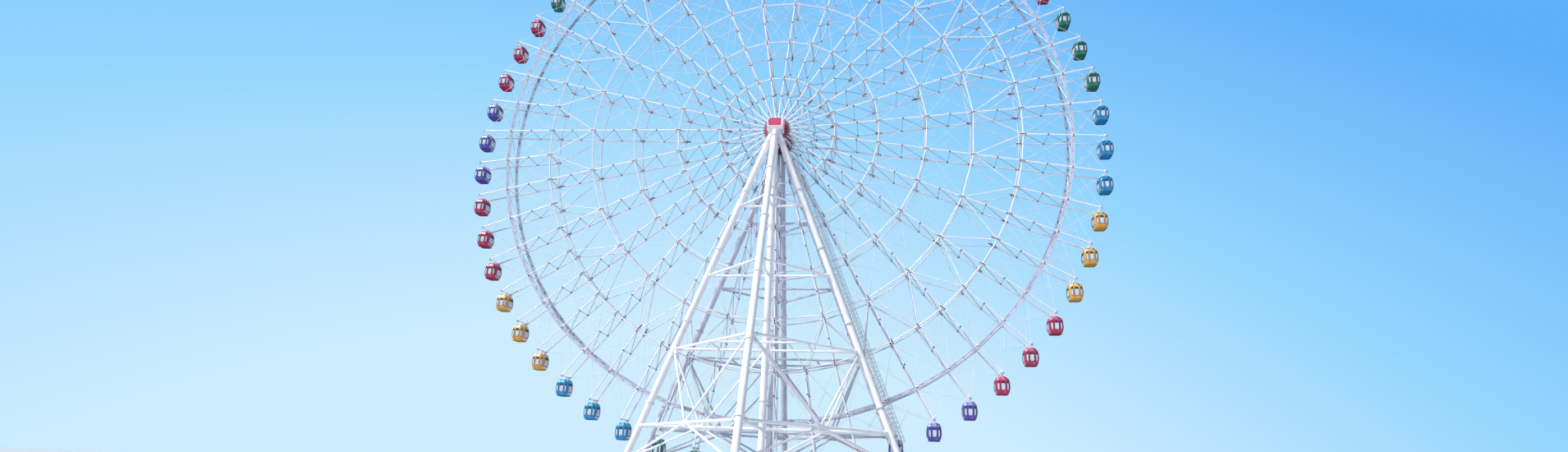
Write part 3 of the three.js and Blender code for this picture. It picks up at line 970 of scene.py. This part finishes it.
def side_band(shape, low, high, out, paint, span=1.0):
    """A strip on both sides that stands a little proud of the skin."""
    for face in SIDES:
        qs = [q for q in COLUMNS[face] if abs(q) <= span]
        wide = len(qs)
        rows = ((low, 0.0), (low, out), (high, out), (high, 0.0))
        points = [cabin_point(face, q, z, proud) for z, proud in rows for q in qs]
        quads = [cell(row, column, wide) for row, column in product(range(3), range(wide - 1))]
        shape.add(points, quads, paint, False)


def skin_ring(z, shrink=0.0):
    """A closed ring of points round the cabin."""
    return [cabin_point(face, q, z, -shrink) for face in range(4) for q in COLUMNS[face][:-1]]


def underside(shape):
    """The bottom of the cabin in a darker copy of the body colour, inside a lip that is dark on its inner
    face. Both darks are painted shade.
    """
    rim, inner = skin_ring(ROWS[0]), skin_ring(ROWS[0], 0.0025)
    count, lip = len(rim), UP * 0.0065
    points = [*rim, *(p - lip for p in rim), *(p - lip for p in inner), *inner]
    quads = bridge(count, 4)
    shape.add(points, quads[:count], BODY)
    # The lip's bottom edge and inner face are black: painted shade.
    shape.add(points, quads[count:], TRIM)
    # The bottom takes the darker underside paint: painted shade.
    shape.add(inner, [tuple(range(count))[::-1]], SHADED_UNDER, False)


def cabin_lines(shape):
    """The bands along the sides, door seams, handles, and ribs over the roof."""
    side_band(shape, -0.2070, -0.2030, 0.0012, TRIM)
    side_band(shape, -0.2170, -0.2095, 0.0010, STEEL, 0.85)
    for face in FRONTS:
        for q in (-DOOR_SEAM, DOOR_SEAM):
            path = [cabin_point(face, q, z, 0.0006) for z in np.linspace(-0.236, -0.204, 4)]
            bent_tube(shape, path, 0.0009, 5, TRIM, X)
        grip = [(-0.212, 0.0), (-0.212, 0.0045), (-0.226, 0.0045), (-0.226, 0.0)]
        bent_tube(shape, [cabin_point(face, HANDLE, z, out) for z, out in grip], 0.0011, 5, STEEL, X)
    # A pale rib up each corner of the roof, whose white is a painted highlight along the roof's edges, and
    # two over each door that are dark.
    for face in range(4):
        ribs = [(-1, -0.074, STEEL)]
        if face in FRONTS:
            ribs += [(-DOOR_SEAM, LINTEL, TRIM), (DOOR_SEAM, LINTEL, TRIM)]
        for q, low, paint in ribs:
            path = [cabin_point(face, q, z, 0.0008) for z in np.linspace(low, -0.0348, 14)]
            bent_tube(shape, path, 0.0021, 6, paint, X)


def cabin_inside(shape):
    """Floor, two benches with backs, and the pole in the middle."""
    floor = skin_ring(FLOOR, 0.002)
    shape.add(floor, [tuple(range(len(floor)))], LINING, False)
    for out in (-X, X):
        seat, back, chest = (out * 0.054 - UP * 0.206, out * 0.069 - UP * 0.186, out * 0.056 - UP * 0.219)
        block(shape, seat, X, ACROSS, UP, (0.016, 0.058, 0.004), LINING, 0.002)
        block(shape, back, X, ACROSS, UP, (0.003, 0.058, 0.018), LINING, 0.0015)
        block(shape, chest, X, ACROSS, UP, (0.010, 0.050, 0.009), DARK)
    tube(shape, UP * FLOOR, -UP * 0.040, 0.0022, 6, STEEL)


def hanger(shape):
    """Roof frame, two A-shaped brackets, and the axle with its sleeve."""
    block(shape, -UP * 0.0335, X, ACROSS, UP, (0.040, 0.034, 0.0034), STEEL, 0.0012)
    for bracket in (-ACROSS * 0.0095, ACROSS * 0.0095):
        for out in (-X, X):
            tube(shape, bracket + out * 0.026 - UP * 0.034, bracket + out * 0.004, 0.0042, 6, STEEL)
        block(shape, bracket - UP * 0.026, X, ACROSS, UP, (0.021, 0.0022, 0.0050), STEEL)
    sleeve = [(0.0072, -0.018), (0.0115, -0.018), (0.0115, 0.018), (0.0072, 0.018)]
    turned(shape, sleeve, (0, 0, 0), ACROSS, 14, STEEL)
    tube(shape, -ACROSS * AXLE_HALF, ACROSS * AXLE_HALF, 0.0055, 12, STEEL)


def cabin_mesh(colour):
    """One cabin about its pivot."""
    shape = Shape()
    cabin_skin(shape)
    roof = skin_ring(ROWS[-1])
    shape.add(roof, [tuple(range(len(roof)))], LIT_ROOF, False)
    underside(shape)
    cabin_lines(shape)
    cabin_inside(shape)
    hanger(shape)
    # The roof paint is a paler copy of the body's, painted highlight, and the underside paint a darker one,
    # painted shade.
    body, top, shaded_under = CABIN_PAINT[colour]
    return shape.made("cabin_mesh_" + colour, [body, BLACK, GLASS, WHITE, SEAT, GREY, top, shaded_under])


# Put together


def put(name, shape, materials, body, replaced=(), slot="white_steel"):
    place(name, shape.made(name, materials), body, replaced, slot)


for side, name in ((FRONT, "front"), (REAR, "rear")):
    in_front = side == FRONT
    # The rear lattice takes a darker, bluer copy of the white, and both rims a lavender-grey: painted shade.
    frame_paints = [WHITE, SHADED_FRONT_RAIL] if in_front else [SHADED_REAR_WHITE, SHADED_RAIL]
    # The front tower takes a lighter copy of the white, painted light, and the rear tower a darker, bluer
    # copy, painted shade.
    tower_paints = [LIT_TOWER_WHITE if in_front else SHADED_WHITE, GREY]
    put(f"{name}_lattice", wheel_side(side), frame_paints, "wheel", [f"wheel_{name}_frame"])
    put(f"{name}_tower_tubes", tower_piece(side), tower_paints, "base", [f"{name}_tower"])
    put(f"{name}_bearing_box", head_piece(side), [WHITE, PANEL, ZINC, CREAM], "base", (), "hub_red")
    put(f"{name}_ladder", ladder_piece(side), [ZINC, LACING_GREY_AND_SHADE], "base")
put("rim_ties", rim_ties(), [WHITE], "wheel", ["rim_lacing"])
put("spoke_lacing", spoke_lacing(), [LACING_GREY_AND_SHADE], "wheel")
put("tie_rods", tie_rods(), [WHITE], "wheel")
put("joint_fittings", joint_fittings(), [WHITE, GREY, LACING_GREY_AND_SHADE, CLAMP, SHADED_RAIL], "wheel")
put("hub_drum", hub_piece(), [HUB_RED_AND_SHADE, ZINC, GREY, DRUM_RED], "wheel", ["wheel_hub"], "hub_red")
put("hub_shaft", shaft_piece(), [ZINC], "wheel", ["wheel_hub"], "hub_red")

MESHES = {colour: cabin_mesh(colour) for colour in CABIN_COLOURS}
for number in range(1, STEPS + 1):
    colour = COLOUR_ORDER[(number - 1) // CABINS_PER_COLOUR % len(COLOUR_ORDER)]
    name = f"cabin_{number:02d}"
    pivot = on_wheel(PIVOT, number)
    place(f"{name}_dressed", MESHES[colour], f"{name}_body", [name], f"cabin_{colour}", pivot)


# Floor, light and camera

# Shares of depth, width and height in the tone of the sky, and what is added to them.
SKY_SHARES, SKY_TONE = (-1.38, 0.45, 1.09), 1.31
SKY_SOFTNESS = 0.12
FLOOR_LEVEL = -0.0005
# The floor fades into the backdrop between these distances.
FADE_START, FADE_END = 14.0, 70.0
FLOOR_RADII = (0, 14.0, 60.0, 278.0)
DOME = 280


def sky_glow(paint):
    """A pale blue that deepens with height and to the right, by the direction from the middle."""
    way = paint.node("VectorMath", paint.place, operation="NORMALIZE").outputs["Vector"]
    x, y, z = paint.node("SeparateXYZ", way).outputs
    # The depth is the root of y squared plus a little, so that the tone has no crease at y = 0.
    square = paint.node("Math", y, y, SKY_SOFTNESS, operation="MULTIPLY_ADD").outputs[0]
    depth = paint.node("Math", square, operation="SQRT").outputs[0]
    tone = SKY_TONE
    for source, share in zip((depth, x, z), SKY_SHARES):
        tone = paint.node("Math", source, share, tone, operation="MULTIPLY_ADD").outputs[0]
    pale, middle, deep = (0.61, 0.84, 0.985), (0.30, 0.665, 0.985), (0.115, 0.435, 0.955)
    colour = paint.ramp(tone, [(0.0, pale), (0.5, middle), (1.0, deep)])
    return paint.node("Emission", Color=colour).outputs["Emission"]


def floor_paint():
    """Pale, slightly cloudy paint that gives way to the sky's tone far from the middle."""
    paint = Material("pale_floor")
    clouds = paint.noise(paint.place, Scale=0.8, Detail=5.0)
    cloudy = paint.ramp(clouds, [(0.3, (0.60, 0.63, 0.67)), (0.75, (0.64, 0.67, 0.71))])
    paint.finish(Base_Color=cloudy, Roughness=0.85)
    reach = paint.node("VectorMath", paint.place, operation="LENGTH").outputs["Value"]
    fade = paint.node("MapRange", Value=reach, From_Min=FADE_START, From_Max=FADE_END).outputs["Result"]
    blend = paint.node("MixShader", fade, paint.shader.outputs["BSDF"], sky_glow(paint))
    paint.show(blend.outputs["Shader"])
    return paint.made


def stage_floor():
    """A plain round floor, very large."""
    shape = Shape()
    turned(shape, [(radius, 0.0) for radius in FLOOR_RADII], (0, 0, FLOOR_LEVEL), UP, 96)
    in_scene("stage_floor", shape.made("stage_floor", [floor_paint()]))


def backdrop():
    """A wide dome round everything, pale blue like a clear day. It lights nothing and casts no shadow."""
    shape = Shape()
    angles = [math.radians(a) for a in range(-84, 85, 6)]
    profile = [(0, -DOME), *((DOME * math.cos(a), DOME * math.sin(a)) for a in angles), (0, DOME)]
    turned(shape, profile, (0, 0, 0), UP, 48)
    paint = Material("backdrop_paint")
    paint.nodes.remove(paint.shader)
    paint.show(sky_glow(paint))
    dome = in_scene("backdrop", shape.made("backdrop", [paint.made]))
    dome.visible_diffuse = dome.visible_glossy = dome.visible_shadow = False


def sun(name, azimuth, elevation, strength, softness, colour):
    """A soft light from a direction: azimuth 0 is the viewer's side, and it grows to the viewer's right."""
    light = bpy.data.lights.new(name, "SUN")
    light.energy, light.angle, light.color = strength, math.radians(softness), colour
    lamp = in_scene(name, light)
    a, e = math.radians(azimuth), math.radians(elevation)
    back = Vector((math.sin(a) * math.cos(e), -math.cos(a) * math.cos(e), math.sin(e)))
    lamp.rotation_mode = "QUATERNION"
    lamp.rotation_quaternion = (-back).to_track_quat("-Z", "Y")
    lamp.location = back * 20 + HUB


stage_floor()
backdrop()
world = bpy.data.worlds.new("studio")
world.use_nodes = True
background = world.node_tree.nodes["Background"]
background.inputs["Color"].default_value = (0.50, 0.66, 1.0, 1.0)
background.inputs["Strength"].default_value = 0.36
bpy.context.scene.world = world
sun("key_light", -56, 46, 4.3, 6, (1.0, 0.985, 0.96))
sun("fill_light", 40, 6, 0.28, 60, (1.0, 0.84, 0.88))

# The camera stands at the photograph's side and height, low over the ground and a little to the right.
# Focal length and middle are in pixels of the photograph.
IMAGE_WIDTH, IMAGE_HEIGHT = 1910, 550
FOCAL, CENTRE_X, CENTRE_Y = 894.8, 955.0, 315.0
YAW, PITCH, ROLL = (math.radians(a) for a in (7.64, 16.42, -2.27))
POSITION = Vector((1.342, -9.0, HUB_HEIGHT - 4.40))
SENSOR = 36.0

lens = bpy.data.cameras.new("camera")
lens.sensor_fit, lens.sensor_width = "HORIZONTAL", SENSOR
lens.lens = FOCAL / IMAGE_WIDTH * SENSOR
lens.shift_x = (IMAGE_WIDTH / 2 - CENTRE_X) / IMAGE_WIDTH
lens.shift_y = (CENTRE_Y - IMAGE_HEIGHT / 2) / IMAGE_WIDTH
lens.clip_start, lens.clip_end = 0.05, 1000.0
camera = in_scene("camera", lens)
turn = Matrix.Rotation(YAW, 3, "Z") @ Matrix.Rotation(PITCH, 3, "X") @ Matrix.Rotation(ROLL, 3, "Y")
right, forward, up = turn.col
camera.matrix_world = Matrix.Translation(POSITION) @ Matrix((right, up, -forward)).transposed().to_4x4()
bpy.context.scene.camera = camera
bpy.context.scene.view_settings.view_transform = "Standard"
